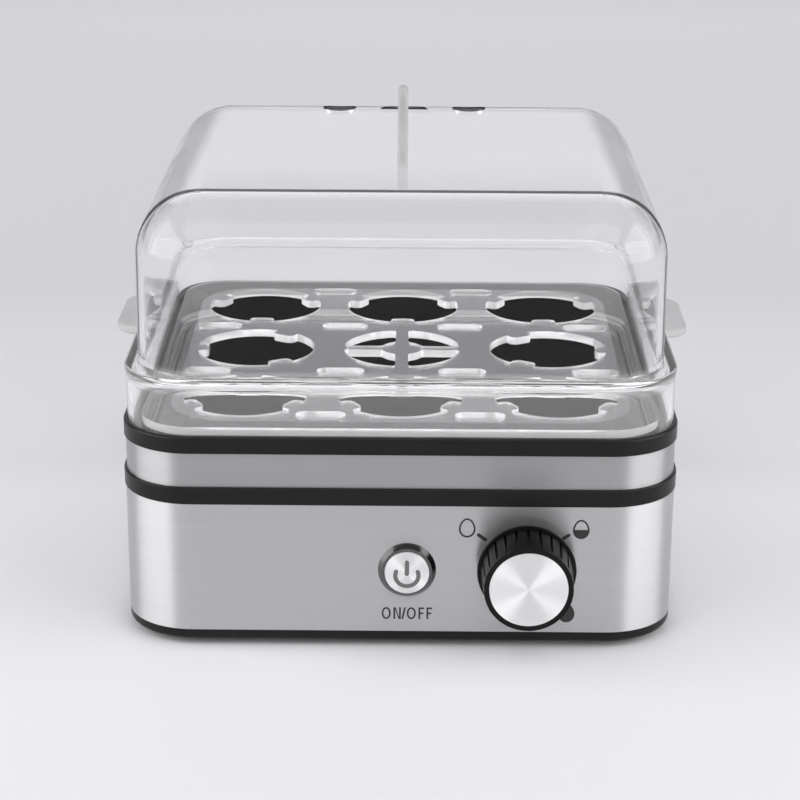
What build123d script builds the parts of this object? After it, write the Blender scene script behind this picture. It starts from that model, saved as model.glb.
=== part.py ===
from build123d import *
import os

# Countertop boiler for eight eggs: a steel-clad base with a heated pan, a clear egg tray that lies on
# the pan's rim, and a clear lid that stands in the base's upper rim.
# Millimetres, +Z up, front towards -Y, floor at Z = 0.

# ---------------------------------------------------------------- driving dimensions

# Egg tray
egg_pitch = 53.5              # between neighbouring places, both ways
egg_hole_radius = 21.5
egg_tab_circle = 17.1         # radius that a hole's three tabs reach in to
egg_tab_width = 9.0
egg_tab_round = 2.5
tray_edge = 12.1              # outer holes to the tray's edges
tray_thickness = 2.8
tray_corner_radius = 18.0
petal_circle = 21.3           # the four openings in the middle place
petal_bar_width = 4.6
petal_hub_radius = 7.5
petal_round = 1.5
steam_slot_length = 17.0
steam_slot_width = 6.5
end_slot_edge = 13.7          # end slots to the front and back edges
side_slot_edge = 18.1         # side slots to the side edges
inner_slot_offset = 21.6      # inner slots to the middle line

# Footprint, shared by everything in the stack
rim_border = 6.1              # tray edge to the casing's face, all round
corner_radius = 23.7

# Heights of the stack, from the floor up
foot_height = 2.3
base_height = 3.9
casing_height = 45.3
middle_rim_height = 6.0
band_height = 11.9
upper_rim_height = 5.8

# Casing and band, sheet steel
sheet = 0.8
band_set_back = 0.5           # band face behind the casing's face
middle_rim_proud = 0.4
upper_rim_proud = 0.1
sheet_clearance = 0.2         # between a sheet and the moulding inside it

# Mouldings
moulding_wall = 1.6
rim_edge_round = 1.0
middle_skirt_depth = 10.5     # down inside the casing
band_lip_height = 5.0         # up and down inside the band
base_plate = 2.2
base_lip_height = 6.0
base_edge_round = 2.0
post_radius = 5.0
post_corner_offset = 10.0     # from the corner's centre, towards the corner, both ways
post_web = 4.0
boss_radius = 3.6
rim_boss_side = 8.0           # bosses in from the casing's face
rim_boss_spread = 40.0        # bosses front and back of the middle

# Rubber feet
foot_radius = 8.0
foot_edge = 24.0              # foot centre in from the casing's faces
foot_edge_round = 0.6

# Seats in the upper rim
lid_lip = 1.1                 # wall outside the lid's skirt
lid_seat_depth = 2.5
bowl_recess_side = 5.7        # recess wall in from the casing's face
bowl_flange_clearance = 0.2
tray_rise = 1.4               # tray top above the rim's top edge
rim_web = 4.3
seal_thickness = 0.8
seal_margin = 0.4

# Heating bowl
tray_seat = 8.6               # tray edge resting on the bowl's flange
bowl_flange = 1.5
bowl_wall = 1.5
bowl_depth = 19.8
bowl_radius = 20.0
bowl_draft = 5.0
bowl_floor_round = 5.0
bowl_air_gap = 2.0            # bowl wall to the mouldings

# Heater below the bowl
spreader_border = 16.0        # in from the bowl's opening, all round
spreader_thickness = 2.0
spreader_round = 18.0
element_radius = 3.3
element_border = 14.0         # loop's centre line in from the spreader's edge
element_bend = 14.0
element_end_gap = 30.0        # between the two ends of the loop
element_end_bend = 8.0
element_end_drop = 14.0
element_gap = 0.05
shield_thickness = 1.0
shield_border = 3.0           # in from the casing's face
shield_front_cut = 14.0       # clears the controls behind the front panel
tie_radius = 2.5
tie_nut_radius = 4.6
tie_nut_height = 4.0
thermostat_radius = 7.0
thermostat_height = 5.0
thermostat_from_middle = 30.0
strap_width = 8.0
strap_length = 26.0
strap_sheet = 0.8
fuse_radius = 2.0
fuse_length = 14.0
fuse_from_middle = 30.0
clip_wall = 0.8

# Lid
lid_clearance = 0.3           # skirt inside the rim's lip
lid_wall = 2.2
skirt_wall = 1.8
lid_skirt_height = 21.8
lid_bead_height = 2.7
lid_bead_proud = 0.4
lid_shoulder = 3.0
lid_shoulder_fillet = 3.5     # inside, under the shoulder
lid_step = 3.7                # skirt face to the dome's foot
lid_dome_height = 57.5
lid_draft = 0.5
lid_corner_radius = 22.6
lid_top_radius = 22.0
lid_bead_round = 0.8
ear_span = 204.4              # across both side grips
ear_depth = 42.6
ear_round = 9.0
ear_thickness = 3.0
ear_drop = 4.1                # grip top below the bead's top
ear_edge_round = 0.9
vent_radius = 6.4
vent_spread = 24.7            # either side of the middle
vent_back = 65.5              # behind the lid's middle
middle_vent_width = 18.0
middle_vent_depth = 9.5
grip_thickness = 3.5
grip_length = 58.2
grip_height = 21.1
grip_edge_round = 1.2

# Controls on the front panel; heights are from the casing's lower edge
knob_x = 42.3
knob_height = 24.6
knob_gap = 0.8
knob_skirt_radius = 16.6
knob_skirt_rear_radius = 14.4
knob_skirt_length = 5.6
knob_rear_radius = 15.3
knob_front_radius = 14.6
knob_reach = 20.7             # front face from the panel
knob_groove_count = 24
knob_groove_width = 0.9
knob_groove_depth = 0.4
knob_rim = 1.7
knob_insert_thickness = 1.2
knob_insert_clearance = 0.05
knob_front_wall = 3.0         # ahead of the shaft's blind hole
knob_cavity_radius = 9.0
knob_cavity_depth = 7.0
shaft_radius = 3.0
shaft_clearance = 0.05

bushing_radius = 3.5
bushing_length = 6.5
panel_hole_clearance = 0.2
pot_size = 16.0
pot_depth = 12.0
washer_radius = 6.2
washer_thickness = 0.5
pot_nut_width = 10.0          # across flats
pot_nut_thickness = 2.0

button_x = 2.6
button_height = 22.4
bezel_radius = 9.7
bezel_rear_round = 8.2        # sleeve through the panel
bezel_reach = 2.0
bezel_slope = 1.3
bezel_depth = 6.0
button_radius = 7.4
button_reach = 2.6
button_thickness = 3.0
button_clearance = 0.2
button_collar_radius = 7.75
button_collar_thickness = 0.8
button_travel = 2.0
button_stem_radius = 2.2
stem_clearance = 0.4
stem_end_length = 0.3         # behind the bezel's sleeve
bezel_shelf = 1.2
spring_wire = 0.25            # radius
spring_turns = 2.5
spring_radius = 4.2
spring_seat_gap = 0.05
plunger_radius = 1.6
switch_width = 12.0
switch_clearance = 0.3

# Control board, upright behind the controls
board_thickness = 1.6
board_height = 28.0
board_rise = 4.0              # lower edge above the base plate's top
board_left = -16.0
board_right = 58.0
board_guide_width = 6.0
board_guide_depth = 6.0
board_guide_overlap = 4.0
board_guide_inset = 6.0
board_slot_clearance = 0.1
relay_size = (15.5, 19.0, 15.0)
relay_x = 18.0
relay_rise = 8.0
buzzer_radius = 6.0
buzzer_length = 7.0
buzzer_x = 46.0
capacitor_radius = 5.0
capacitor_length = 12.0
capacitor_x = -6.0
component_rise = 15.0

# Cord outlet and wiring at the back
gland_height = 15.8           # above the casing's lower edge
gland_collar_radius = 9.5
gland_collar = 3.0
gland_nose_radius = 6.6
gland_reach = 8.0
gland_groove_radius = 7.0
gland_inner_radius = 8.2
gland_inner_length = 3.0
gland_bore_radius = 3.6
terminal_size = (26.0, 16.0, 14.0)
terminal_back = 30.0          # behind its centre, to the back wall
wire_radius = 1.1
wire_spread = 7.0
wire_bend = 8.0

# Fasteners
screw_radius = 1.5
screw_hole_clearance = 0.3
screw_fit = 0.1
screw_head_radius = 3.1
screw_head_height = 2.4
screw_grip = 12.0
screw_boss_end = 1.5
screw_recess_clearance = 0.4

# ---------------------------------------------------------------- derived sizes and places

tray_size = 2 * (egg_pitch + egg_hole_radius + tray_edge)
body_size = tray_size + 2 * rim_border
face_y = -body_size / 2

base_bottom = foot_height
casing_bottom = base_bottom + base_height
casing_top = casing_bottom + casing_height
middle_rim_top = casing_top + middle_rim_height
band_top = middle_rim_top + band_height
rim_top = band_top + upper_rim_height

lid_seat = rim_top - lid_seat_depth
tray_top = rim_top + tray_rise
tray_bottom = tray_top - tray_thickness
flange_bottom = tray_bottom - bowl_flange
recess_floor = flange_bottom - seal_thickness
rim_web_bottom = recess_floor - rim_web

bowl_size = tray_size - 2 * tray_seat
bowl_floor = tray_bottom - bowl_depth
bowl_bottom = bowl_floor - bowl_wall
throat_size = bowl_size + 2 * (bowl_wall + bowl_air_gap)
throat_radius = bowl_radius + bowl_wall + bowl_air_gap

spreader_size = bowl_size - 2 * spreader_border
spreader_bottom = bowl_bottom - spreader_thickness
element_z = spreader_bottom - element_gap - element_radius
element_reach = spreader_size / 2 - element_border
element_end_x = element_end_gap / 2
element_end_z = element_z - element_end_drop

middle_skirt_bottom = casing_top - middle_skirt_depth
shield_bottom = middle_skirt_bottom - shield_thickness
plate_top = base_bottom + base_plate
post_reach = body_size / 2 - corner_radius + post_corner_offset
rim_boss_x = body_size / 2 - rim_boss_side

lip_inset = lid_lip - upper_rim_proud
skirt_inset = lip_inset + lid_clearance
bead_inset = skirt_inset - lid_bead_proud
dome_inset = skirt_inset + lid_step
shoulder_top = lid_seat + lid_skirt_height
shoulder_bottom = shoulder_top - lid_shoulder
dome_top = shoulder_top + lid_dome_height
ear_top = shoulder_top - ear_drop

knob_z = casing_bottom + knob_height
button_z = casing_bottom + button_height
gland_z = casing_bottom + gland_height
knob_hole_radius = shaft_radius + shaft_clearance
shaft_front = knob_reach - knob_insert_thickness - knob_front_wall
board_front = -sheet - pot_depth
board_back = board_front - board_thickness
board_bottom = plate_top + board_rise
collar_front = button_reach - button_thickness
collar_back = collar_front - button_collar_thickness
shelf_front = -bezel_depth + bezel_shelf
stem_back = -bezel_depth - stem_end_length
plunger_back = board_front + button_travel + switch_clearance
switch_front = stem_back - button_travel - switch_clearance
board_back_y = face_y - board_back
terminal_y = body_size / 2 - terminal_back

# The body's middle lies off the origin, which is the middle of the whole outline with knob and gland.
body_y = (knob_reach - gland_reach) / 2

# ---------------------------------------------------------------- shared shapes


def plan(inset, radius=None):
    """The casing's outline drawn in by inset all round, with concentric corners unless one is given."""
    corner = corner_radius - inset if radius is None else radius
    side = body_size - 2 * inset
    return RectangleRounded(side, side, corner)


def slab(outline, bottom, top):
    """Outline raised from bottom to top."""
    return Pos(0, 0, bottom) * extrude(outline, top - bottom)


def throat():
    """Outline that clears the bowl's wall."""
    return RectangleRounded(throat_size, throat_size, throat_radius)


def upright(x, y, radius, bottom, top):
    """Round bar along Z."""
    return Pos(x, y, (bottom + top) / 2) * Cylinder(radius, top - bottom)


def across(x, z, radius, rear, front):
    """Round bar along Y, between two distances out from the front panel; inside is negative."""
    return Pos(x, face_y - (rear + front) / 2, z) * Rot(90, 0, 0) * Cylinder(radius, front - rear)


def tapered(x, z, rear_radius, front_radius, rear, front):
    """Cone along Y, between two distances out from the front panel."""
    cone = Cone(rear_radius, front_radius, front - rear)
    return Pos(x, face_y - (rear + front) / 2, z) * Rot(90, 0, 0) * cone


def top_edges(solid):
    """Outer edges of the highest flat face."""
    return solid.faces().sort_by(Axis.Z)[-1].outer_wire().edges()


def bottom_edges(solid):
    """Outer edges of the lowest flat face."""
    return solid.faces().sort_by(Axis.Z)[0].outer_wire().edges()


def corners(x, y):
    """The four places at +-x, +-y."""
    return [(sx * x, sy * y) for sx in (-1, 1) for sy in (-1, 1)]


def screw(x, y, head_bottom, grip):
    """Pan-head screw that points up, with a slot in its head."""
    head_top = head_bottom + screw_head_height
    head = upright(x, y, screw_head_radius, head_bottom, head_top)
    slot = Pos(x, y, head_bottom) * Box(2 * screw_head_radius, screw_radius / 2, screw_head_height / 2)
    shank = upright(x, y, screw_radius, head_top, head_top + grip)
    return head - slot + shank


def wire(points, bend):
    """Insulated wire along straight runs joined by arcs."""
    route = FilletPolyline(*points, radius=bend)
    start = Plane(origin=route @ 0, z_dir=route % 0)
    return sweep(start * Circle(wire_radius), path=route)


# ---------------------------------------------------------------- base


def base_pan():
    """Floor of the housing with its posts, board guides and the lip inside the casing."""
    pan = slab(plan(0), base_bottom, casing_bottom)
    pan = fillet(bottom_edges(pan), base_edge_round)
    lip_outer = sheet + sheet_clearance
    pan -= slab(plan(lip_outer + moulding_wall), plate_top, casing_bottom)
    lip = plan(lip_outer) - plan(lip_outer + moulding_wall)
    pan += slab(lip, plate_top, casing_bottom + base_lip_height)
    for x, y in corners(post_reach, post_reach):
        pan += upright(x, y, post_radius, plate_top, shield_bottom)
    for x, y in corners(post_reach, post_reach):
        pan -= upright(x, y, screw_head_radius + screw_recess_clearance, 0, shield_bottom - post_web)
        pan -= upright(x, y, screw_radius + screw_hole_clearance, 0, shield_bottom)
    for x in (board_left + board_guide_inset, board_right - board_guide_inset):
        guide_top = board_bottom + board_guide_overlap
        middle_y = board_back_y - board_thickness / 2
        guide = Pos(x, middle_y, (plate_top + guide_top) / 2) * Box(
            board_guide_width, board_guide_depth, guide_top - plate_top
        )
        slot = Pos(x, middle_y, board_bottom + board_guide_overlap) * Box(
            board_guide_width, board_thickness + 2 * board_slot_clearance, 2 * board_guide_overlap
        )
        pan += guide - slot
    return pan


def steel_casing():
    """Folded steel wall with the holes for the knob's bushing, the button and the cord outlet."""
    casing = slab(plan(0) - plan(sheet), casing_bottom, casing_top)
    casing -= across(knob_x, knob_z, bushing_radius + panel_hole_clearance, -2 * sheet, sheet)
    casing -= across(button_x, button_z, bezel_rear_round + panel_hole_clearance, -2 * sheet, sheet)
    back = Pos(0, -face_y, gland_z) * Rot(90, 0, 0)
    casing -= back * Cylinder(gland_groove_radius + panel_hole_clearance, 4 * sheet)
    return casing


def middle_rim():
    """Ring between casing and band, with a skirt down inside one and a lip up inside the other."""
    ring = slab(plan(-middle_rim_proud), casing_top, middle_rim_top)
    ring = fillet(top_edges(ring), rim_edge_round / 2)
    ring = fillet(bottom_edges(ring), rim_edge_round / 2)
    ring -= slab(throat(), casing_top, middle_rim_top)
    skirt_face = sheet + sheet_clearance
    ring += slab(
        plan(skirt_face) - plan(skirt_face + moulding_wall), middle_skirt_bottom, casing_top
    )
    lip_face = band_set_back + sheet + sheet_clearance
    ring += slab(
        plan(lip_face) - plan(lip_face + moulding_wall), middle_rim_top, middle_rim_top + band_lip_height
    )
    for x, y in corners(post_reach, post_reach):
        ring += upright(x, y, post_radius, middle_skirt_bottom, middle_rim_top)
    for x, y in corners(post_reach, post_reach):
        ring -= upright(
            x, y, screw_radius + screw_fit, middle_skirt_bottom, middle_rim_top - screw_boss_end
        )
    for x, y in corners(rim_boss_x, rim_boss_spread):
        ring -= upright(x, y, screw_radius + screw_hole_clearance, casing_top, middle_rim_top)
    return ring


def upper_band():
    """Narrow steel wall round the bowl."""
    return slab(plan(band_set_back) - plan(band_set_back + sheet), middle_rim_top, band_top)


def upper_rim():
    """Top ring: a lip and ledge for the lid, a recess for the bowl's flange and bosses below."""
    ring = slab(plan(-upper_rim_proud), band_top, rim_top)
    ring = fillet(top_edges(ring), rim_edge_round)
    ring += slab(plan(band_set_back + sheet + sheet_clearance), rim_web_bottom, band_top)
    ring -= slab(plan(lip_inset), lid_seat, rim_top)
    ring -= slab(plan(bowl_recess_side), recess_floor, rim_top)
    ring -= slab(throat(), rim_web_bottom, rim_top)
    lip_face = band_set_back + sheet + sheet_clearance
    ring += slab(
        plan(lip_face) - plan(lip_face + moulding_wall), band_top - band_lip_height, rim_web_bottom
    )
    for x, y in corners(rim_boss_x, rim_boss_spread):
        ring += upright(x, y, boss_radius, middle_rim_top, rim_web_bottom)
    for x, y in corners(rim_boss_x, rim_boss_spread):
        ring -= upright(
            x, y, screw_radius + screw_fit, middle_rim_top, rim_web_bottom - screw_boss_end
        )
    return ring


def rubber_foot(x, y):
    """Round foot under a corner of the base pan."""
    foot = upright(x, y, foot_radius, 0, foot_height)
    return fillet(bottom_edges(foot), foot_edge_round)


def base_screws():
    """Four screws up through the base posts into the middle rim."""
    head_bottom = shield_bottom - post_web - screw_head_height
    places = corners(post_reach, post_reach)
    return Part() + [screw(x, y, head_bottom, post_web + screw_grip) for x, y in places]


def rim_screws():
    """Four screws that join the middle and upper rims."""
    head_bottom = casing_top - screw_head_height
    grip = middle_rim_height + screw_grip - band_lip_height
    places = corners(rim_boss_x, rim_boss_spread)
    return Part() + [screw(x, y, head_bottom, grip) for x, y in places]


# ---------------------------------------------------------------- bowl and heater


def bowl_void(grow, top, floor):
    """Drafted inside of the bowl, or its outside when grown by the wall."""
    side = bowl_size + 2 * grow
    mouth = RectangleRounded(side, side, bowl_radius + grow)
    void = Pos(0, 0, top) * extrude(mouth, floor - top, taper=bowl_draft)
    return fillet(bottom_edges(void), bowl_floor_round + grow)


def heating_bowl():
    """Shallow coated pan whose flange carries the tray."""
    flange = slab(plan(bowl_recess_side + bowl_flange_clearance), flange_bottom, tray_bottom)
    bowl = flange + bowl_void(bowl_wall, tray_bottom, bowl_bottom)
    return bowl - bowl_void(0, tray_bottom, bowl_floor)


def bowl_seal():
    """Flat gasket between the bowl's flange and the upper rim."""
    outer = plan(bowl_recess_side + seal_margin)
    side = throat_size + 2 * seal_margin
    inner = RectangleRounded(side, side, throat_radius + seal_margin)
    return slab(outer - inner, recess_floor, flange_bottom)


def heat_spreader():
    """Aluminium plate against the bowl's floor."""
    outline = RectangleRounded(spreader_size, spreader_size, spreader_round)
    return slab(outline, spreader_bottom, bowl_bottom)


def heating_element():
    """Tubular heater: one loop under the spreader with both ends turned down at the front."""
    points = [
        (-element_end_x, -element_reach, element_end_z),
        (-element_end_x, -element_reach, element_z),
        (-element_reach, -element_reach, element_z),
        (-element_reach, element_reach, element_z),
        (element_reach, element_reach, element_z),
        (element_reach, -element_reach, element_z),
        (element_end_x, -element_reach, element_z),
        (element_end_x, -element_reach, element_end_z),
    ]
    bends = [element_end_bend] + [element_bend] * 4 + [element_end_bend]
    route = FilletPolyline(*points, radius=bends)
    start = Plane(origin=route @ 0, z_dir=route % 0)
    return sweep(start * Circle(element_radius), path=route)


def heat_shield():
    """Sheet under the heater, clamped between the base posts and the middle rim."""
    shield = slab(plan(shield_border), shield_bottom, middle_skirt_bottom)
    cut_y = face_y + shield_front_cut / 2
    reach = 2 * (post_reach - post_radius - shield_border)
    shield -= Pos(0, cut_y, shield_bottom) * Box(reach, shield_front_cut, 4 * shield_thickness)
    for x, y in corners(post_reach, post_reach):
        shield -= upright(x, y, screw_radius + screw_hole_clearance, shield_bottom, middle_skirt_bottom)
    for side in (-1, 1):
        clear = element_radius + bowl_air_gap
        shield -= upright(side * element_end_x, -element_reach, clear, shield_bottom, middle_skirt_bottom)
    tie_hole = tie_radius + screw_hole_clearance
    shield -= upright(0, 0, tie_hole, shield_bottom, middle_skirt_bottom)
    return shield


def tie_stud():
    """Stud that draws the bowl and its heater down on to the seal."""
    return upright(0, 0, tie_radius, shield_bottom - tie_nut_height - strap_sheet, spreader_bottom)


def tie_nut():
    """Hexagon nut on the stud, under the shield."""
    nut = extrude(RegularPolygon(tie_nut_radius, 6), tie_nut_height)
    nut = Pos(0, 0, shield_bottom - tie_nut_height) * nut
    return nut - upright(
        0, 0, tie_radius + screw_fit, shield_bottom - tie_nut_height, shield_bottom
    )


def thermostat():
    """Disc thermostat with two flat terminals, pressed against the spreader."""
    y = thermostat_from_middle
    bottom = spreader_bottom - thermostat_height
    can = upright(0, y, thermostat_radius, bottom, spreader_bottom)
    for side in (-1, 1):
        tab = Box(strap_sheet, thermostat_radius / 2, strap_sheet * 2)
        can += Pos(side * thermostat_radius / 2, y, bottom - strap_sheet) * tab
    return can


def thermostat_strap():
    """Bridge of sheet metal that holds the thermostat at its edges."""
    y = thermostat_from_middle
    inner = thermostat_radius + screw_fit
    ring = Cylinder(inner + strap_sheet, strap_width / 2) - Cylinder(inner, strap_width / 2)
    strap = Pos(0, y, spreader_bottom - strap_width / 4) * ring
    foot = Pos(0, y, spreader_bottom - strap_sheet / 2) * Box(strap_length, strap_width, strap_sheet)
    return strap + (foot - upright(0, y, inner, spreader_bottom - strap_sheet, spreader_bottom))


def thermal_fuse():
    """One-shot fuse that lies against the spreader."""
    z = spreader_bottom - fuse_radius - element_gap
    return Pos(0, -fuse_from_middle, z) * Rot(0, 90, 0) * Cylinder(fuse_radius, fuse_length)


def fuse_clip():
    """Sheet clip under the fuse, with two feet on the spreader."""
    inner = fuse_radius + element_gap
    outer = inner + clip_wall
    z = spreader_bottom - inner
    clip = Rot(0, 90, 0) * (
        Cylinder(outer, fuse_length / 2) - Cylinder(inner, fuse_length / 2)
    )
    clip = Pos(0, -fuse_from_middle, z) * clip
    clip -= Pos(0, -fuse_from_middle, z + outer) * Box(fuse_length, 2 * outer, 2 * outer)
    for side in (-1, 1):
        wall_y = side * (inner + clip_wall / 2)
        clip += Pos(0, wall_y - fuse_from_middle, z + inner / 2) * Box(
            fuse_length / 2, clip_wall, inner
        )
    return clip


# ---------------------------------------------------------------- tray and lid


def egg_hole(tab_angles):
    """Round opening with three rounded tabs that carry the egg."""
    hole = Sketch() + Circle(egg_hole_radius)
    length = egg_hole_radius - egg_tab_circle + 2 * egg_tab_round
    for angle in tab_angles:
        tab = RectangleRounded(length, egg_tab_width, egg_tab_round)
        hole -= Rot(0, 0, angle) * Pos(egg_tab_circle + length / 2, 0) * tab
    return hole


def petals():
    """Four rounded quarter openings round a hub."""
    opening = Sketch() + Circle(petal_circle)
    opening -= Rectangle(2 * petal_circle, petal_bar_width)
    opening -= Rectangle(petal_bar_width, 2 * petal_circle)
    opening -= Circle(petal_hub_radius)
    return fillet(opening.vertices(), petal_round)


def egg_tray():
    """Clear plate with eight egg holes, the middle openings and the steam slots."""
    outline = Sketch() + RectangleRounded(tray_size, tray_size, tray_corner_radius)
    tab_directions = {
        -1: {-1: 90, 0: 90, 1: 90},
        0: {-1: 180, 1: 0},
        1: {-1: -90, 0: -90, 1: -90},
    }
    for row, places in tab_directions.items():
        for column, angle in places.items():
            tabs = [angle, angle + 120, angle - 120]
            outline -= Pos(column * egg_pitch, row * egg_pitch) * egg_hole(tabs)
    outline -= petals()
    slot = SlotOverall(steam_slot_length, steam_slot_width)
    places = corners(egg_pitch / 2, tray_size / 2 - end_slot_edge)
    places += corners(inner_slot_offset, egg_pitch / 2)
    places += corners(tray_size / 2 - side_slot_edge, egg_pitch / 2)
    for x, y in places:
        outline -= Pos(x, y) * slot
    return slab(outline, tray_bottom, tray_top)


def lid_dome(inset, bottom, top):
    """Drafted block with rounded top edges; inset by the wall it is the dome's inside."""
    inward = inset - dome_inset
    block = extrude(plan(inset, lid_corner_radius - inward), top - bottom, taper=lid_draft)
    block = fillet(top_edges(block), lid_top_radius - inward)
    return Pos(0, 0, bottom) * block


def lid_shell():
    """Clear lid: skirt, beaded shoulder and domed top with steam vents."""
    shell = slab(plan(skirt_inset), lid_seat, shoulder_top)
    bead = slab(plan(bead_inset), shoulder_top - lid_bead_height, shoulder_top)
    bead = fillet(bead.edges().filter_by(Plane.XY), lid_bead_round)
    shell += bead + lid_dome(dome_inset, shoulder_top, dome_top)
    void = slab(plan(skirt_inset + skirt_wall), lid_seat, shoulder_bottom)
    shell -= fillet(top_edges(void), lid_shoulder_fillet)
    shell -= lid_dome(dome_inset + lid_wall, shoulder_bottom, dome_top - lid_wall)
    vents = Sketch() + Pos(0, vent_back) * middle_vent()
    for side in (-1, 1):
        vents += Pos(side * vent_spread, vent_back) * Circle(vent_radius)
    return shell - slab(vents, dome_top - 2 * lid_wall, dome_top + lid_wall)


def middle_vent():
    """Half ellipse with its straight side to the front."""
    oval = Ellipse(middle_vent_width / 2, middle_vent_depth)
    half = oval & Pos(0, middle_vent_depth / 2) * Rectangle(middle_vent_width, middle_vent_depth)
    return Pos(0, -middle_vent_depth / 3) * half


def lid_ear(side):
    """Side grip that stands out from the skirt."""
    ears = slab(RectangleRounded(ear_span, ear_depth, ear_round), ear_top - ear_thickness, ear_top)
    ears = fillet(ears.edges().filter_by(Plane.XY), ear_edge_round)
    face = body_size / 2 - skirt_inset
    return ears & Pos(side * (face + ear_span), 0, ear_top) * Box(2 * ear_span, ear_span, ear_span)


def lid_grip():
    """Upright arched fin along the lid's middle line."""
    half = grip_length / 2
    base = Line((-half, 0), (half, 0))
    arch = ThreePointArc((-half, 0), (0, grip_height), (half, 0))
    fin = extrude(Plane.YZ * make_face(base + arch), grip_thickness / 2, both=True)
    curved = fin.edges().filter_by(GeomType.CIRCLE)
    return Pos(0, 0, dome_top) * fillet(curved, grip_edge_round)


# ---------------------------------------------------------------- knob


def knob_body():
    """Black knob: undercut skirt, grooved barrel, recess for the insert and a cavity over the nut."""
    barrel_rear = knob_gap + knob_skirt_length
    groove_front = knob_reach - knob_rim
    knob = tapered(
        knob_x, knob_z, knob_skirt_rear_radius, knob_skirt_radius, knob_gap, barrel_rear
    )
    knob = chamfer(knob.edges().filter_by(GeomType.CIRCLE), knob_groove_depth)
    knob += tapered(knob_x, knob_z, knob_rear_radius, knob_front_radius, barrel_rear, knob_reach)
    reach = knob_rear_radius - knob_front_radius + knob_groove_depth
    groove = Box(knob_groove_width, groove_front - barrel_rear, 2 * reach)
    for step in range(knob_groove_count):
        turn = step * 360 / knob_groove_count
        place = Pos(knob_x, face_y - (groove_front + barrel_rear) / 2, knob_z) * Rot(0, turn, 0)
        knob -= place * Pos(0, 0, knob_front_radius - knob_groove_depth + reach) * groove
    insert_seat = knob_reach - knob_insert_thickness
    knob -= across(knob_x, knob_z, knob_front_radius - knob_rim, insert_seat, knob_reach)
    knob -= across(knob_x, knob_z, knob_cavity_radius, knob_gap, knob_gap + knob_cavity_depth)
    return knob - across(knob_x, knob_z, knob_hole_radius, knob_gap, shaft_front)


def knob_insert():
    """Turned aluminium disc in the knob's front."""
    radius = knob_front_radius - knob_rim - knob_insert_clearance
    return across(knob_x, knob_z, radius, knob_reach - knob_insert_thickness, knob_reach)


def knob_shaft():
    """Shaft from inside the regulator to the knob's blind hole."""
    return across(knob_x, knob_z, shaft_radius, -sheet - pot_depth / 2, shaft_front)


def regulator():
    """Rotary regulator with its threaded bushing through the panel."""
    body = Pos(knob_x, face_y + sheet + pot_depth / 2, knob_z) * Box(pot_size, pot_depth, pot_size)
    body += across(knob_x, knob_z, bushing_radius, -sheet, bushing_length)
    return body - across(knob_x, knob_z, knob_hole_radius, -sheet - pot_depth / 2, bushing_length)


def regulator_washer():
    """Flat washer on the panel under the nut."""
    washer = across(knob_x, knob_z, washer_radius, 0, washer_thickness)
    return washer - across(knob_x, knob_z, bushing_radius + screw_fit, 0, washer_thickness)


def regulator_nut():
    """Hexagon nut that holds the regulator to the panel."""
    outline = RegularPolygon(pot_nut_width / 2, 6, major_radius=False)
    outline -= Circle(bushing_radius + screw_fit)
    nut = Rot(90, 0, 0) * extrude(outline, pot_nut_thickness)
    return Pos(knob_x, face_y - washer_thickness, knob_z) * nut


# ---------------------------------------------------------------- push button


def button_bezel():
    """Sloped metal ring with a sleeve through the panel and a shelf for the spring."""
    ring = tapered(button_x, button_z, bezel_radius, bezel_radius - bezel_slope, 0, bezel_reach)
    ring += across(button_x, button_z, bezel_rear_round, -bezel_depth, 0)
    mouth = button_radius + button_clearance
    ring -= across(button_x, button_z, mouth, collar_front, bezel_reach)
    pocket = button_collar_radius + button_clearance / 2
    ring -= across(button_x, button_z, pocket, shelf_front, collar_front)
    guide = button_stem_radius + stem_clearance
    return ring - across(button_x, button_z, guide, -bezel_depth, shelf_front)


def button_cap():
    """Round key with a retaining collar and a stem."""
    cap = across(button_x, button_z, button_radius, collar_front, button_reach)
    cap += across(button_x, button_z, button_collar_radius, collar_back, collar_front)
    return cap + across(button_x, button_z, button_stem_radius, stem_back, collar_back)


def button_spring():
    """Coil spring between the key's collar and the bezel's shelf."""
    rear = shelf_front + spring_seat_gap + spring_wire
    front = collar_back - spring_seat_gap - spring_wire
    length = front - rear
    coil = Helix(pitch=length / spring_turns, height=length, radius=spring_radius)
    start = Plane(origin=coil @ 0, z_dir=coil % 0)
    spring = sweep(start * Circle(spring_wire), path=coil)
    return Pos(button_x, face_y - rear, button_z) * Rot(90, 0, 0) * spring


def switch_plunger():
    """Plunger of the switch, pushed by the key's stem."""
    return across(button_x, button_z, plunger_radius, plunger_back, stem_back)


def switch_body():
    """Push switch on the control board."""
    depth = switch_front - board_front
    middle_y = face_y - board_front - depth / 2
    body = Pos(button_x, middle_y, button_z) * Box(switch_width, depth, switch_width)
    bore = plunger_radius + switch_clearance
    return body - across(button_x, button_z, bore, board_front, stem_back)


# ---------------------------------------------------------------- electronics and wiring


def control_board():
    """Circuit board that stands in the base pan's guides."""
    width = board_right - board_left
    middle = (board_right + board_left) / 2
    place = Pos(middle, board_back_y - board_thickness / 2, board_bottom + board_height / 2)
    return place * Box(width, board_thickness, board_height)


def relay():
    """Relay on the back of the board."""
    width, depth, height = relay_size
    return Pos(relay_x, board_back_y + depth / 2, board_bottom + relay_rise + height / 2) * Box(
        width, depth, height
    )


def board_can(x, radius, length):
    """Round component on the back of the board."""
    place = Pos(x, board_back_y + length / 2, board_bottom + component_rise) * Rot(90, 0, 0)
    return place * Cylinder(radius, length)


def terminal_block():
    """Terminal block on the base pan, ahead of the cord outlet."""
    width, depth, height = terminal_size
    block = Pos(0, terminal_y, plate_top + height / 2) * Box(width, depth, height)
    for side in (-1, 1):
        block -= upright(
            side * wire_spread, terminal_y, screw_radius, plate_top + height / 2, plate_top + height
        )
    return block


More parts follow.
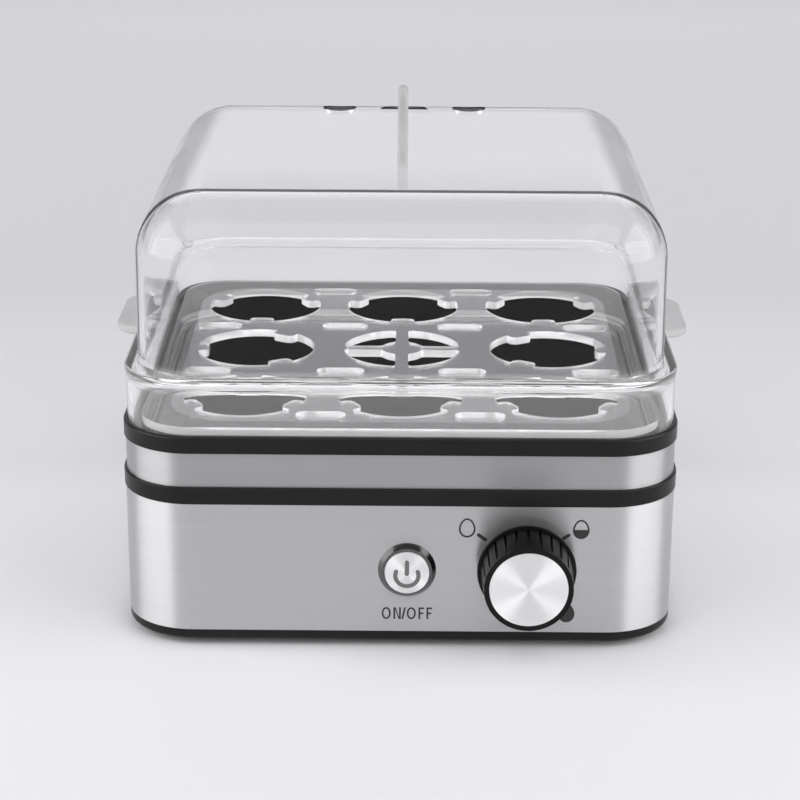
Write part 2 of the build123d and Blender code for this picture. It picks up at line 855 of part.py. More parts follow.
def cord_gland():
    """Bush for a supply cord through the back of the casing."""
    back = -face_y
    sections = [
        (gland_inner_radius, -sheet - gland_inner_length, -sheet),
        (gland_groove_radius, -sheet, 0),
        (gland_collar_radius, 0, gland_collar),
        (gland_nose_radius, gland_collar, gland_reach),
    ]
    gland = Part()
    for radius, start, end in sections:
        place = Pos(0, back + (start + end) / 2, gland_z) * Rot(90, 0, 0)
        gland += place * Cylinder(radius, end - start)
    through = 2 * (gland_reach + gland_inner_length + sheet)
    return gland - Pos(0, back, gland_z) * Rot(90, 0, 0) * Cylinder(gland_bore_radius, through)


def supply_wires():
    """Pair from the terminal block's front to the back of the control board."""
    low = board_bottom + wire_radius * 2
    start_y = terminal_y - terminal_size[1] / 2
    wires = []
    for side in (-1, 1):
        x = side * wire_spread
        end_x = board_left + board_guide_inset + board_guide_width + x / 2 + wire_spread
        route = [
            (x, start_y, low),
            (x, 0, low),
            (end_x, board_back_y + 2 * wire_bend, low),
            (end_x, board_back_y, low),
        ]
        wires.append(wire(route, wire_bend))
    return Part() + wires


def heater_wires():
    """Pair from the terminal block's top, forward under the shield to the element's ends."""
    high = element_end_z - wire_bend - wire_radius
    start_z = plate_top + terminal_size[2] / 2
    wires = []
    for side in (-1, 1):
        x = side * wire_spread
        route = [
            (x, terminal_y, start_z),
            (x, terminal_y, high),
            (x, 0, high),
            (side * element_end_x, -element_reach, high),
            (side * element_end_x, -element_reach, element_end_z),
        ]
        wires.append(wire(route, wire_bend * 0.9))
    return Part() + wires


# ---------------------------------------------------------------- all pieces, by name

pieces = {
    "base_pan": base_pan(),
    "steel_casing": steel_casing(),
    "middle_rim": middle_rim(),
    "upper_band": upper_band(),
    "upper_rim": upper_rim(),
    "base_screws": base_screws(),
    "rim_screws": rim_screws(),
    "heating_bowl": heating_bowl(),
    "bowl_seal": bowl_seal(),
    "heat_spreader": heat_spreader(),
    "heating_element": heating_element(),
    "heat_shield": heat_shield(),
    "tie_stud": tie_stud(),
    "tie_nut": tie_nut(),
    "thermostat": thermostat(),
    "thermostat_strap": thermostat_strap(),
    "thermal_fuse": thermal_fuse(),
    "fuse_clip": fuse_clip(),
    "egg_tray": egg_tray(),
    "lid_shell": lid_shell(),
    "lid_ear_left": lid_ear(-1),
    "lid_ear_right": lid_ear(1),
    "lid_grip": lid_grip(),
    "knob_body": knob_body(),
    "knob_insert": knob_insert(),
    "knob_shaft": knob_shaft(),
    "regulator": regulator(),
    "regulator_washer": regulator_washer(),
    "regulator_nut": regulator_nut(),
    "button_bezel": button_bezel(),
    "button_cap": button_cap(),
    "button_spring": button_spring(),
    "switch_plunger": switch_plunger(),
    "switch_body": switch_body(),
    "control_board": control_board(),
    "relay": relay(),
    "buzzer": board_can(buzzer_x, buzzer_radius, buzzer_length),
    "capacitor": board_can(capacitor_x, capacitor_radius, capacitor_length),
    "terminal_block": terminal_block(),
    "cord_gland": cord_gland(),
    "supply_wires": supply_wires(),
    "heater_wires": heater_wires(),
}

foot_reach = body_size / 2 - foot_edge
for number, (x, y) in enumerate(corners(foot_reach, foot_reach), start=1):
    pieces[f"rubber_foot_{number}"] = rubber_foot(x, y)

os.makedirs("parts", exist_ok=True)
for name, piece in pieces.items():
    export_step(Pos(0, body_y, 0) * piece, f"parts/{name}.step")
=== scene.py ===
"""Egg boiler: clear domed lid and egg tray over a steel-clad base with a knob and a push button."""
import math

import bmesh
import bpy
from mathutils import Matrix, Vector


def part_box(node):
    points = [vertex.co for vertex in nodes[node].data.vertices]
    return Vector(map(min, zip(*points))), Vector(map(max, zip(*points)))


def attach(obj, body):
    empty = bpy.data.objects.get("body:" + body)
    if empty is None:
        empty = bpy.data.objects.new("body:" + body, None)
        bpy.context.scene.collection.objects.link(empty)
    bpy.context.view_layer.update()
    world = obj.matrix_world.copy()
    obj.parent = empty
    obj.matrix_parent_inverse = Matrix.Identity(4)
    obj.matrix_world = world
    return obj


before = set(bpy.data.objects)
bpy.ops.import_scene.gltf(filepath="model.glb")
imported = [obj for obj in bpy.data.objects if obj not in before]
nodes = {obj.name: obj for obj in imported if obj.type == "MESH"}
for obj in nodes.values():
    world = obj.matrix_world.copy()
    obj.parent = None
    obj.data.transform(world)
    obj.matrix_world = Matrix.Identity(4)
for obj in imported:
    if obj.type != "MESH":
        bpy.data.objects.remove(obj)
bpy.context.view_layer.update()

MM = 0.001

# ---------------------------------------------------------------- places taken from the frame

sheen_above_ears = 4.5 * MM      # the lid's milky part, a painted reflection, ends this far above its ears
sheen_fade = 1.0 * MM


def low(node):
    """Lowest corner of a node's box."""
    return Vector(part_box(node)[0])


def high(node):
    """Highest corner of a node's box."""
    return Vector(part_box(node)[1])


def middle(node):
    """Middle of a node's box."""
    return (low(node) + high(node)) / 2


panel_face = low("steel_casing").y
cap_face = low("button_cap").y
knob_axis = middle("knob_insert")
button_axis = middle("button_cap")
sheen_top = high("lid_ear_left").z + sheen_above_ears

# ---------------------------------------------------------------- node helpers


class Graph:
    """Short calls for building one material's nodes."""

    def __init__(self, material):
        self.tree = material.node_tree
        self.tree.nodes.clear()
        self.output = self.tree.nodes.new("ShaderNodeOutputMaterial")

    def add(self, kind, inputs=None, **settings):
        """New node with its settings and inputs; an input that is a socket is linked."""
        node = self.tree.nodes.new(kind)
        for name, value in settings.items():
            setattr(node, name, value)
        for name, value in (inputs or {}).items():
            if isinstance(value, bpy.types.NodeSocket):
                self.tree.links.new(value, node.inputs[name])
            else:
                node.inputs[name].default_value = value
        return node

    def surface(self, socket):
        """Link a shader to the output."""
        self.tree.links.new(socket, self.output.inputs["Surface"])

    def principled(self, inputs):
        """Principled shader with the given inputs."""
        return self.add("ShaderNodeBsdfPrincipled", inputs).outputs["BSDF"]

    def place(self):
        """Object coordinates in metres."""
        return self.add("ShaderNodeTexCoord").outputs["Object"]

    def axes(self, vector):
        """The X, Y and Z of a vector, by name."""
        return self.add("ShaderNodeSeparateXYZ", {"Vector": vector}).outputs

    def noise(self, scale, detail=2.0):
        """Noise value over object coordinates, each axis stretched by its scale."""
        stretched = self.add("ShaderNodeMapping", {"Vector": self.place(), "Scale": scale})
        inputs = {"Vector": stretched.outputs["Vector"], "Scale": 1.0, "Detail": detail}
        return self.add("ShaderNodeTexNoise", inputs).outputs["Fac"]

    def even_noise(self, scale, detail=2.0):
        """Noise value with the same scale along every axis."""
        return self.noise((scale, scale, scale), detail)

    def between(self, value, low_end, high_end, start=0.0, end=1.0):
        """Value in start..end mapped to low_end..high_end, and held there beyond."""
        inputs = {
            "Value": value,
            "From Min": start,
            "From Max": end,
            "To Min": low_end,
            "To Max": high_end,
        }
        return self.add("ShaderNodeMapRange", inputs).outputs["Result"]

    def least(self, first, second):
        """Smaller of two values."""
        return self.add("ShaderNodeMath", {0: first, 1: second}, operation="MINIMUM").outputs[0]

    def most(self, first, second):
        """Larger of two values."""
        return self.add("ShaderNodeMath", {0: first, 1: second}, operation="MAXIMUM").outputs[0]

    def ramp(self, value, stops):
        """Colour ramp; stops are (position, colour)."""
        node = self.add("ShaderNodeValToRGB", {"Fac": value})
        elements = node.color_ramp.elements
        for index, (position, colour) in enumerate(stops):
            element = elements[index] if index < 2 else elements.new(position)
            element.position = position
            element.color = (*colour, 1.0)
        return node.outputs["Color"]

    def bump(self, height, distance):
        """Normal disturbed by a height, with the distance in metres."""
        inputs = {"Height": height, "Distance": distance}
        return self.add("ShaderNodeBump", inputs).outputs["Normal"]


def material(name, build):
    """New node material whose graph is made by build."""
    made = bpy.data.materials.new(name)
    made.use_nodes = True
    build(Graph(made))
    return made


def grey(value, tint=0.0):
    """Linear grey, a little bluer with tint."""
    return (value, value, value * (1 + tint))


# ---------------------------------------------------------------- materials

steel_tint = 0.012
streak_contrast = 0.06
metal_line = 0.0015 * MM         # height of brushed and turned lines
quarter_turn = 0.25              # turns the stretched gloss a right angle from the tangent
clear_gloss = 0.012              # roughness of polished clear plastic
cut_roughness = 0.3              # most roughness that a cut face adds
# milky whitening of the lid's skirt and shoulder: painted reflection
sheen_clearness = 0.945
lamp_tone = (0.93, 0.93, 0.935, 1.0)


def brushed_steel(tone):
    """Steel brushed along its walls: fine level streaks in colour, roughness and height."""

    def build(graph):
        fine = graph.noise((5.0, 5.0, 14000.0))
        broad = graph.noise((3.0, 3.0, 900.0), detail=1.0)
        dark = grey(tone * (1 - streak_contrast), steel_tint)
        light = grey(tone * (1 + streak_contrast), steel_tint)
        tangent = graph.add("ShaderNodeTangent", direction_type="RADIAL", axis="Z")
        inputs = {
            "Base Color": graph.ramp(fine, [(0.25, dark), (0.75, light)]),
            "Metallic": 1.0,
            "Roughness": graph.between(broad, 0.33, 0.37),
            "Anisotropic": 0.9,
            "Anisotropic Rotation": quarter_turn,
            "Tangent": tangent.outputs["Tangent"],
            "Normal": graph.bump(fine, metal_line),
        }
        graph.surface(graph.principled(inputs))

    return build


def turned(axis, centre):
    """Metal with rings turned about an axis through centre."""

    def build(graph):
        flat = [0.0 if name == axis else 1.0 for name in "XYZ"]
        offset = graph.add(
            "ShaderNodeVectorMath", {0: graph.place(), 1: centre}, operation="SUBTRACT"
        ).outputs["Vector"]
        across = graph.add(
            "ShaderNodeVectorMath", {0: offset, 1: flat}, operation="MULTIPLY"
        ).outputs["Vector"]
        radius = graph.add("ShaderNodeVectorMath", {0: across}, operation="LENGTH").outputs["Value"]
        rings = graph.add(
            "ShaderNodeTexNoise",
            {"W": radius, "Scale": 9000.0, "Detail": 2.0},
            noise_dimensions="1D",
        ).outputs["Fac"]
        tangent = graph.add("ShaderNodeTangent", direction_type="RADIAL", axis=axis)
        inputs = {
            "Base Color": graph.ramp(rings, [(0.3, grey(0.91)), (0.7, grey(0.97))]),
            "Metallic": 1.0,
            "Roughness": graph.between(rings, 0.38, 0.44),
            "Anisotropic": 0.88,
            "Anisotropic Rotation": quarter_turn,
            "Tangent": tangent.outputs["Tangent"],
            "Normal": graph.bump(rings, metal_line),
        }
        graph.surface(graph.principled(inputs))

    return build


def moulded(value, roughness, grain=0.02 * MM, gloss=0.5):
    """Satin moulded plastic with a fine even grain."""

    def build(graph):
        grains = graph.even_noise(3500.0)
        clouds = graph.even_noise(60.0)
        inputs = {
            "Base Color": graph.ramp(clouds, [(0.3, grey(value * 0.9)), (0.7, grey(value * 1.1))]),
            "Roughness": graph.between(clouds, roughness - 0.03, roughness + 0.03),
            "Specular IOR Level": gloss,
            "Normal": graph.bump(grains, grain),
        }
        graph.surface(graph.principled(inputs))

    return build


def clear_plastic(graph, tone, clearness, roughness, bend):
    """Clear plastic that lets lamp light through; clearness and roughness may be sockets."""
    ripple = graph.even_noise(25.0, detail=1.0)
    inputs = {
        "Base Color": (*grey(tone, 0.003), 1.0),
        "Transmission Weight": clearness,
        "Roughness": roughness,
        "IOR": bend,
        "Normal": graph.bump(ripple, 0.05 * MM),
    }
    glass = graph.principled(inputs)
    through = graph.add("ShaderNodeBsdfTransparent", {"Color": lamp_tone})
    path = graph.add("ShaderNodeLightPath").outputs["Is Shadow Ray"]
    mixed = graph.add("ShaderNodeMixShader", {"Fac": path})
    graph.tree.links.new(glass, mixed.inputs[1])
    graph.tree.links.new(through.outputs["BSDF"], mixed.inputs[2])
    graph.surface(mixed.outputs["Shader"])


def clear_dome(graph):
    """Clear lid: its skirt and shoulder are a little milky, a painted reflection that whitens them,
    the dome above them is clear.
    """
    height = graph.axes(graph.place())["Z"]
    clearness = graph.between(height, sheen_clearness, 1.0, sheen_top, sheen_top + sheen_fade)
    clear_plastic(graph, tone=0.99, clearness=clearness, roughness=clear_gloss, bend=1.25)


def plastic_with_painted_wall_glow(tone, wall_glow_clearness, haze, bend):
    """Clear plastic whose upright cut faces are less clear and rougher than its level ones; the
    whiter look of these faces is painted light, standing in for light carried through the plastic to
    them.
    """

    def build(graph):
        facing = graph.add("ShaderNodeNewGeometry").outputs["True Normal"]
        upward = graph.axes(facing)["Z"]
        level = graph.add("ShaderNodeMath", {0: upward}, operation="ABSOLUTE").outputs[0]
        # upright faces turned whiter: painted light
        clearness = graph.between(level, wall_glow_clearness, 1.0 - haze)
        roughness = graph.between(level, clear_gloss + cut_roughness * (1 - wall_glow_clearness), clear_gloss)
        clear_plastic(graph, tone, clearness, roughness, bend)

    return build


def coated(graph):
    """Black non-stick coating with fine speckle."""
    speckle = graph.even_noise(1800.0, detail=3.0)
    inputs = {
        "Base Color": graph.ramp(speckle, [(0.35, grey(0.002)), (0.75, grey(0.004))]),
        "Roughness": 0.5,
        "Specular IOR Level": 0.0,
        "Normal": graph.bump(speckle, 0.02 * MM),
    }
    graph.surface(graph.principled(inputs))


def polished_ring(graph):
    """Dark polished metal of the button's bezel."""
    haze = graph.even_noise(400.0)
    inputs = {
        "Base Color": graph.ramp(haze, [(0.3, grey(0.12)), (0.7, grey(0.14))]),
        "Metallic": 1.0,
        "Roughness": graph.between(haze, 0.10, 0.16),
    }
    graph.surface(graph.principled(inputs))


def plain_metal(value, roughness):
    """Plated or milled metal of the inner pieces."""

    def build(graph):
        haze = graph.even_noise(300.0, detail=3.0)
        inputs = {
            "Base Color": graph.ramp(haze, [(0.3, grey(value * 0.9)), (0.7, grey(value))]),
            "Metallic": 1.0,
            "Roughness": graph.between(haze, roughness - 0.05, roughness + 0.05),
        }
        graph.surface(graph.principled(inputs))

    return build


def coloured(colour, roughness):
    """Coloured plastic, laminate or insulation of the inner pieces."""

    def build(graph):
        clouds = graph.even_noise(150.0)
        dark = tuple(0.85 * part for part in colour)
        inputs = {
            "Base Color": graph.ramp(clouds, [(0.3, dark), (0.7, colour)]),
            "Roughness": graph.between(clouds, roughness - 0.04, roughness + 0.04),
        }
        graph.surface(graph.principled(inputs))

    return build


ink_grain = 0.002 * MM

STEEL = material("brushed_steel", brushed_steel(0.605))
# the upper band is a darker copy of the brushed steel: painted shade under the rim above it
BAND_STEEL_PAINTED_SHADE = material("brushed_band_painted_shade", brushed_steel(0.47))
BLACK = material("black_moulding", moulded(0.008, roughness=0.34, gloss=0.2))
KNOB_BLACK = material("knob_moulding", moulded(0.005, roughness=0.3, gloss=0.15))
RUBBER = material("rubber", moulded(0.02, roughness=0.75, grain=0.05 * MM))
CLEAR = material("clear_lid", clear_dome)
CLEAR_TRAY = material("clear_tray", plastic_with_painted_wall_glow(0.9, wall_glow_clearness=0.65, haze=0.055, bend=1.5))
CLEAR_GRIP = material("clear_grip", plastic_with_painted_wall_glow(0.52, wall_glow_clearness=0.35, haze=0.5, bend=1.3))
COATING = material("coating", coated)
KNOB_METAL = material("turned_knob_face", turned("Y", knob_axis))
BUTTON_METAL = material("turned_button_face", turned("Y", button_axis))
RING_METAL = material("polished_ring", polished_ring)
PLATED = material("plated_steel", plain_metal(0.55, roughness=0.3))
MILLED = material("milled_aluminium", plain_metal(0.75, roughness=0.4))
SHEATH = material("heater_sheath", plain_metal(0.35, roughness=0.4))
CERAMIC = material("ceramic", coloured((0.75, 0.73, 0.68), roughness=0.5))
WHITE = material("white_plastic", coloured((0.75, 0.75, 0.72), roughness=0.45))
BLUE = material("blue_plastic", coloured((0.04, 0.12, 0.35), roughness=0.4))
BOARD = material("board_laminate", coloured((0.03, 0.16, 0.06), roughness=0.4))
WIRE = material("wire_insulation", coloured((0.4, 0.05, 0.04), roughness=0.5))
SEAL = material("seal", moulded(0.2, roughness=0.6))
PRINT = material("panel_ink", moulded(0.018, roughness=0.45, grain=ink_grain))
PRINT_GREY = material("cap_ink", moulded(0.13, roughness=0.45, grain=ink_grain))

finishes = {
    STEEL: ["steel_casing"],
    BAND_STEEL_PAINTED_SHADE: ["upper_band"],
    BLACK: ["base_pan", "middle_rim", "upper_rim", "regulator", "switch_body", "buzzer"],
    KNOB_BLACK: ["knob_body"],
    RUBBER: ["rubber_foot_1", "rubber_foot_2", "rubber_foot_3", "rubber_foot_4", "cord_gland"],
    CLEAR: ["lid_shell"],
    CLEAR_TRAY: ["egg_tray"],
    CLEAR_GRIP: ["lid_ear_left", "lid_ear_right", "lid_grip"],
    COATING: ["heating_bowl"],
    KNOB_METAL: ["knob_insert"],
    BUTTON_METAL: ["button_cap"],
    RING_METAL: ["button_bezel"],
    PLATED: [
        "base_screws",
        "rim_screws",
        "tie_stud",
        "tie_nut",
        "thermostat_strap",
        "fuse_clip",
        "knob_shaft",
        "regulator_washer",
        "regulator_nut",
        "button_spring",
    ],
    MILLED: ["heat_spreader"],
    SHEATH: ["heating_element", "heat_shield"],
    CERAMIC: ["thermostat", "thermal_fuse"],
    WHITE: ["switch_plunger", "terminal_block"],
    BLUE: ["relay", "capacitor"],
    BOARD: ["control_board"],
    WIRE: ["supply_wires", "heater_wires"],
    SEAL: ["bowl_seal"],
}
for finish, names in finishes.items():
    for name in names:
        nodes[name].data.materials.clear()
        nodes[name].data.materials.append(finish)

# ---------------------------------------------------------------- prints on the panel and the button
# Places are (x, z), because both faces look towards -Y.

ink_proud = 0.05 * MM
ink_sunk = 0.02 * MM
fine_line = 0.6 * MM
round_end_steps = 8

egg_width = 5.5 * MM
egg_height = 6.9 * MM
soft_place = (22.5 * MM, 43.9 * MM)
medium_place = (60.3 * MM, 43.65 * MM)
hard_place = (56.2 * MM, 13.3 * MM)
filling_drop = 0.2 * MM          # the medium egg is filled up to this far under its middle

tick_width = 1.15 * MM
ticks = (
    ((26.3 * MM, 41.4 * MM), (28.6 * MM, 39.7 * MM)),
    ((53.7 * MM, 39.8 * MM), (56.2 * MM, 41.5 * MM)),
)

word_place = (2.75 * MM, 12.75 * MM)
letter_height = 4.3 * MM
letter_stroke = 0.6 * MM
letter_slant = 1.25 * letter_stroke      # foot of the N's slanting stroke
round_overshoot = 0.05 * MM              # the O stands this much above and below the others
letter_bottom = word_place[1] - letter_height / 2
letter_top = word_place[1] + letter_height / 2

# left and right ends of the letters, in mm from the word's middle
o_spans = ((-8.56, -5.51), (-0.12, 2.93))
n_span = (-4.62, -2.11)
slash_span = (-1.95, -0.4)
f_spans = ((3.81, 5.74), (6.5, 8.43))

# the switch sign, from the cap's middle
sign_ring_drop = 0.93 * MM
sign_ring_radius = 3.85 * MM
sign_ring_stroke = 1.4 * MM
sign_ring_start = 159                    # degrees; the ring is open at its top
sign_ring_end = 381
sign_bar_bottom = -0.35 * MM
sign_bar_top = 3.8 * MM
sign_bar_stroke = 1.45 * MM


def bent(centre, reach, start, end, steps):
    """Points round an ellipse from one angle to another, in degrees."""
    angles = [math.radians(start + (end - start) * step / steps) for step in range(steps + 1)]
    return [
        (centre[0] + reach[0] * math.cos(a), centre[1] + reach[1] * math.sin(a)) for a in angles
    ]


def egg_outline(centre, inset=0.0):
    """Egg shape with its narrow end up; inset draws it smaller all round."""
    steps = 48
    points = []
    for step in range(steps):
        angle = 2 * math.pi * step / steps
        across, up = math.sin(angle), math.cos(angle)
        taper = 1 - 0.13 * up - 0.04 * up * up
        x = centre[0] + (egg_width / 2 - inset) * across * taper
        z = centre[1] + (egg_height / 2 - inset) * up
        points.append((x, z))
    return points


def bar(start, end, width):
    """Straight stroke with round ends."""
    angle = math.degrees(math.atan2(end[1] - start[1], end[0] - start[0]))
    reach = (width / 2, width / 2)
    end_cap = bent(end, reach, angle - 90, angle + 90, round_end_steps)
    start_cap = bent(start, reach, angle + 90, angle + 270, round_end_steps)
    return end_cap + start_cap


def arc_bar(centre, radius, start, end, width):
    """Curved stroke with round ends, from one angle to a larger one."""
    steps = 40
    half = width / 2
    first, last = (bent(centre, (radius, radius), a, a, 1)[0] for a in (start, end))
    outer = bent(centre, (radius + half, radius + half), start, end, steps)
    inner = bent(centre, (radius - half, radius - half), end, start, steps)
    last_cap = bent(last, (half, half), end, end + 180, round_end_steps)
    first_cap = bent(first, (half, half), start + 180, start + 360, round_end_steps)
    return outer + last_cap[1:-1] + inner + first_cap[1:-1]


def letter_ends(span):
    """Left and right x of a letter."""
    return word_place[0] + span[0] * MM, word_place[0] + span[1] * MM


def letter_o(span):
    """Capital O: an oval and its hole."""
    left, right = span
    centre = (word_place[0] + (left + right) / 2 * MM, word_place[1])
    reach = ((right - left) / 2 * MM, letter_height / 2 + round_overshoot)
    thinner = (reach[0] - letter_stroke, reach[1] - letter_stroke)
    return bent(centre, reach, 0, 350, 35), bent(centre, thinner, 0, 350, 35)


def letter_n(span):
    """Capital N."""
    left, right = letter_ends(span)
    outline = [
        (left, letter_bottom),
        (left + letter_stroke, letter_bottom),
        (left + letter_stroke, letter_top - letter_slant),
        (right - letter_slant, letter_bottom),
        (right, letter_bottom),
        (right, letter_top),
        (right - letter_stroke, letter_top),
        (right - letter_stroke, letter_bottom + letter_slant),
        (left + letter_slant, letter_top),
        (left, letter_top),
    ]
    return outline, None


def slash(span):
    """Slanting stroke between the two words."""
    left, right = letter_ends(span)
    outline = [
        (left, letter_bottom),
        (left + letter_stroke, letter_bottom),
        (right, letter_top),
        (right - letter_stroke, letter_top),
    ]
    return outline, None


def letter_f(span):
    """Capital F."""
    left, right = letter_ends(span)
    arm = letter_bottom + 0.5 * letter_height
    half = letter_stroke / 2
    outline = [
        (left, letter_bottom),
        (left + letter_stroke, letter_bottom),
        (left + letter_stroke, arm - half),
        (right - half, arm - half),
        (right - half, arm + half),
        (left + letter_stroke, arm + half),
        (left + letter_stroke, letter_top - letter_stroke),
        (right, letter_top - letter_stroke),
        (right, letter_top),
        (left, letter_top),
    ]
    return outline, None


def letters():
    """The words ON/OFF in narrow plain capitals, as print shapes."""
    shapes = [letter_o(span) for span in o_spans]
    shapes += [letter_n(n_span), slash(slash_span)]
    shapes += [letter_f(span) for span in f_spans]
    return shapes


def egg_signs():
    """Empty, half filled and full egg, as print shapes."""
    shapes = []
    for place in (soft_place, medium_place):
        shapes.append((egg_outline(place), egg_outline(place, fine_line)))
    top = medium_place[1] - filling_drop
    inside = egg_outline(medium_place, fine_line)
    shapes.append(([(x, min(z, top)) for x, z in inside if z <= top + fine_line], None))
    shapes.append((egg_outline(hard_place), None))
    return shapes


def switch_sign():
    """Open ring with an upright bar in its gap, as print shapes."""
    x, z = button_axis.x, button_axis.z
    ring = arc_bar(
        (x, z - sign_ring_drop), sign_ring_radius, sign_ring_start, sign_ring_end, sign_ring_stroke
    )
    upright = bar((x, z + sign_bar_bottom), (x, z + sign_bar_top), sign_bar_stroke)
    return [(ring, None), (upright, None)]


def printed(name, shapes, face, finish, body):
    """Thin ink on a face; each shape is an outline and its hole's outline or None."""
    build = bmesh.new()
    front, back = face - ink_proud, face + ink_sunk
    for outline, hole in shapes:
        rings = [
            [[build.verts.new((x, y, z)) for x, z in loop] for y in (front, back)]
            for loop in (outline, hole)
            if loop
        ]
        for near, far in rings:
            for i, corner in enumerate(near):
                build.faces.new((near[i - 1], corner, far[i], far[i - 1]))
        for side in range(2):
            loops = [ring[side] for ring in rings]
            if hole:
                for i in range(len(outline)):
                    build.faces.new((loops[0][i - 1], loops[0][i], loops[1][i], loops[1][i - 1]))
            else:
                build.faces.new(loops[0])
    build.normal_update()
    many_sided = [polygon for polygon in build.faces if len(polygon.verts) > 4]
    bmesh.ops.triangulate(build, faces=many_sided, ngon_method="EAR_CLIP")
    bmesh.ops.recalc_face_normals(build, faces=build.faces)
    mesh = bpy.data.meshes.new(name)
    build.to_mesh(mesh)
    build.free()
    mesh.materials.append(finish)
    piece = bpy.data.objects.new(name, mesh)
    bpy.context.scene.collection.objects.link(piece)
    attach(piece, body)


def add_prints():
    """Egg signs round the knob, ON/OFF under the button and the switch sign on its cap."""
    marks = [(bar(start, end, tick_width), None) for start, end in ticks]
    printed("dial_print", egg_signs() + marks, panel_face, PRINT, "housing")
    printed("switch_print", letters(), panel_face, PRINT, "housing")
    printed("power_sign", switch_sign(), cap_face, PRINT_GREY, "button")


# ---------------------------------------------------------------- camera

camera_place = Vector((4.4, -766.3, 325.1)) * MM
camera_yaw = math.radians(-0.372)
camera_pitch = math.radians(-19.19)
camera_roll = math.radians(0.296)
camera_lens = 99.62              # mm
sensor_width = 36.0              # mm


def add_camera():
    """Camera that looks slightly down at the front."""
    data = bpy.data.cameras.new("camera")
    data.sensor_width = sensor_width
    data.lens = camera_lens
    data.clip_start = 0.01
    data.clip_end = 50.0
    camera = bpy.data.objects.new("camera", data)
    turn = Matrix.Rotation(-camera_yaw, 4, "Z")
    tilt = Matrix.Rotation(math.pi / 2 + camera_pitch, 4, "X")
    roll = Matrix.Rotation(camera_roll, 4, "Z")
    level = turn @ tilt
    camera.matrix_world = Matrix.Translation(camera_place) @ level @ roll
    bpy.context.scene.collection.objects.link(camera)
    bpy.context.scene.camera = camera


# ---------------------------------------------------------------- stage and light, in metres

stage_half_width = 6.0
stage_front = -4.0
stage_back = 3.6
stage_height = 5.0
stage_curve = 1.8
stage_curve_steps = 24

paper_tint = 0.03
# (y, tone) of the paper, painted light and shade: lighter and darker bands along the depth stand in
# for how the lamps fall on it; the tone stays the same in front of the first and behind the last
floor_painted_light = (
    (-1.40, 0.50),
    (-0.50, 0.62),
    (-0.18, 0.69),
    (-0.05, 0.71),
    (0.05, 0.77),
    (0.20, 0.69),
    (0.35, 0.65),
    (0.80, 0.82),
    (1.2, 0.96),
)

glow_strength = 0.5
glow_rise = (0.5, 0.8)           # heights between which the glow comes up
glow_fall = (0.95, 1.15)         # heights between which it fades again

object_middle = (0.0, 0.0, 0.08)
side_box_x = 1.35
side_box_y = -0.85
side_box_z = 0.6
side_box_target_z = 0.1
front_box_place = (0.0, -1.1, 1.7)
back_box_place = (0.0, 1.9, 1.45)

world_tint = 0.02
world_tone = 0.22
world_tone_through = 0.68        # seen through clear plastic


def stage_surface(graph):
    """Matt pale paper, painted lighter and darker along its depth as painted light and shade; a level
    band of it glows in reflections and through clear plastic only.
    """
    along = graph.axes(graph.place())
    near, far = floor_painted_light[0][0], floor_painted_light[-1][0]
    depth = graph.between(along["Y"], 0.0, 1.0, near, far)
    stops = [((y - near) / (far - near), grey(tone, paper_tint)) for y, tone in floor_painted_light]
    glow = graph.least(
        graph.between(along["Z"], 0.0, glow_strength, *glow_rise),
        graph.between(along["Z"], glow_strength, 0.0, *glow_fall),
    )
    path = graph.add("ShaderNodeLightPath")
    seen = graph.most(path.outputs["Is Glossy Ray"], path.outputs["Is Transmission Ray"])
    inputs = {
        # paper tone along the depth: painted light and shade
        "Base Color": graph.ramp(depth, stops),
        "Roughness": 0.9,
        "Specular IOR Level": 0.1,
        "Emission Color": (1.0, 1.0, 1.0, 1.0),
        "Emission Strength": graph.least(glow, seen),
    }
    graph.surface(graph.principled(inputs))


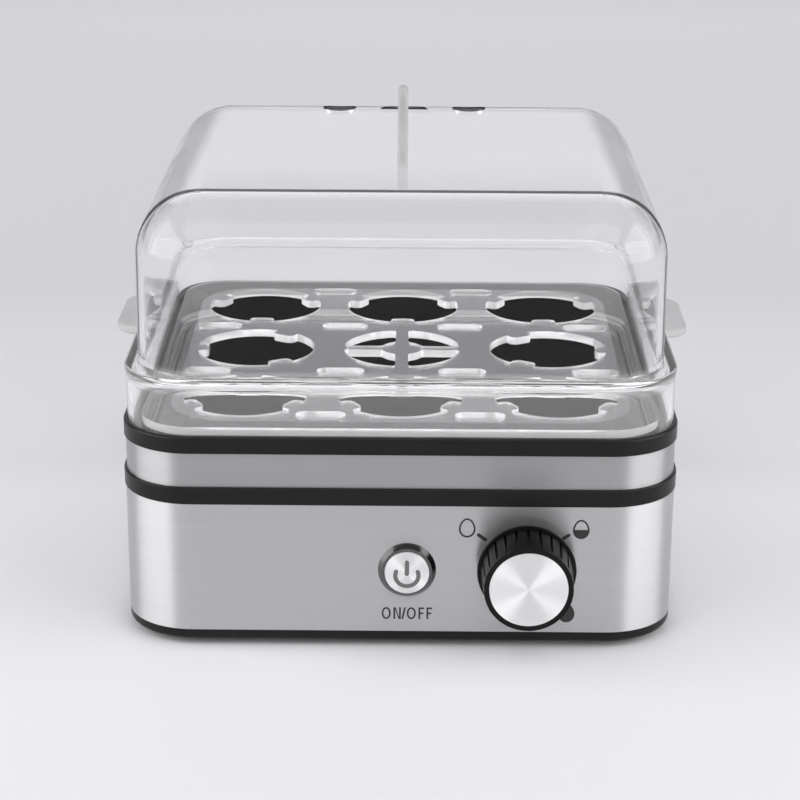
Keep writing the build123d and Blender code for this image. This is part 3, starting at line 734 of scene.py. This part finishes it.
def add_stage():
    """Paper sweep: floor, round curve and back wall."""
    profile = [(stage_front, 0.0)]
    for step in range(stage_curve_steps + 1):
        angle = math.pi / 2 * step / stage_curve_steps
        y = stage_back - stage_curve + stage_curve * math.sin(angle)
        profile.append((y, stage_curve - stage_curve * math.cos(angle)))
    profile.append((stage_back, stage_height))
    vertices = [(x, y, z) for y, z in profile for x in (-stage_half_width, stage_half_width)]
    faces = [(2 * i, 2 * i + 1, 2 * i + 3, 2 * i + 2) for i in range(len(profile) - 1)]
    mesh = bpy.data.meshes.new("stage")
    mesh.from_pydata(vertices, [], faces)
    mesh.shade_smooth()
    stage = bpy.data.objects.new("stage", mesh)
    mesh.materials.append(material("stage_paper", stage_surface))
    bpy.context.scene.collection.objects.link(stage)


def area_light(name, place, target, width, height, power):
    """Rectangular soft light at place, facing target."""
    data = bpy.data.lights.new(name, "AREA")
    data.shape = "RECTANGLE"
    data.size = width
    data.size_y = height
    data.energy = power
    light = bpy.data.objects.new(name, data)
    direction = Vector(target) - Vector(place)
    light.rotation_euler = direction.to_track_quat("-Z", "Y").to_euler()
    light.location = place
    bpy.context.scene.collection.objects.link(light)


def add_lights():
    """A large box at each side of the camera, one high above it and a weaker one high behind."""
    for name, side in (("left_box", -1), ("right_box", 1)):
        place = (side * side_box_x, side_box_y, side_box_z)
        target = (0.0, side_box_y, side_box_target_z)
        area_light(name, place, target, width=2.2, height=1.2, power=29.0)
    area_light("front_box", front_box_place, object_middle, width=2.2, height=1.1, power=15.0)
    area_light("back_box", back_box_place, object_middle, width=2.6, height=1.2, power=9.0)


def add_world():
    """Dim even grey all round, brighter where it is seen through clear plastic."""
    world = bpy.data.worlds.new("studio")
    world.use_nodes = True
    tree = world.node_tree
    tree.nodes.clear()
    tones = tree.nodes.new("ShaderNodeMix")
    tones.data_type = "RGBA"
    tones.inputs["A"].default_value = (*grey(world_tone, world_tint), 1.0)
    tones.inputs["B"].default_value = (*grey(world_tone_through, world_tint), 1.0)
    through = tree.nodes.new("ShaderNodeLightPath").outputs["Is Transmission Ray"]
    tree.links.new(through, tones.inputs["Factor"])
    background = tree.nodes.new("ShaderNodeBackground")
    tree.links.new(tones.outputs["Result"], background.inputs["Color"])
    surround = tree.nodes.new("ShaderNodeOutputWorld")
    tree.links.new(background.outputs["Background"], surround.inputs["Surface"])
    bpy.context.scene.world = world


add_camera()
add_prints()
add_stage()
add_lights()
add_world()

bpy.context.scene.view_settings.view_transform = "Standard"
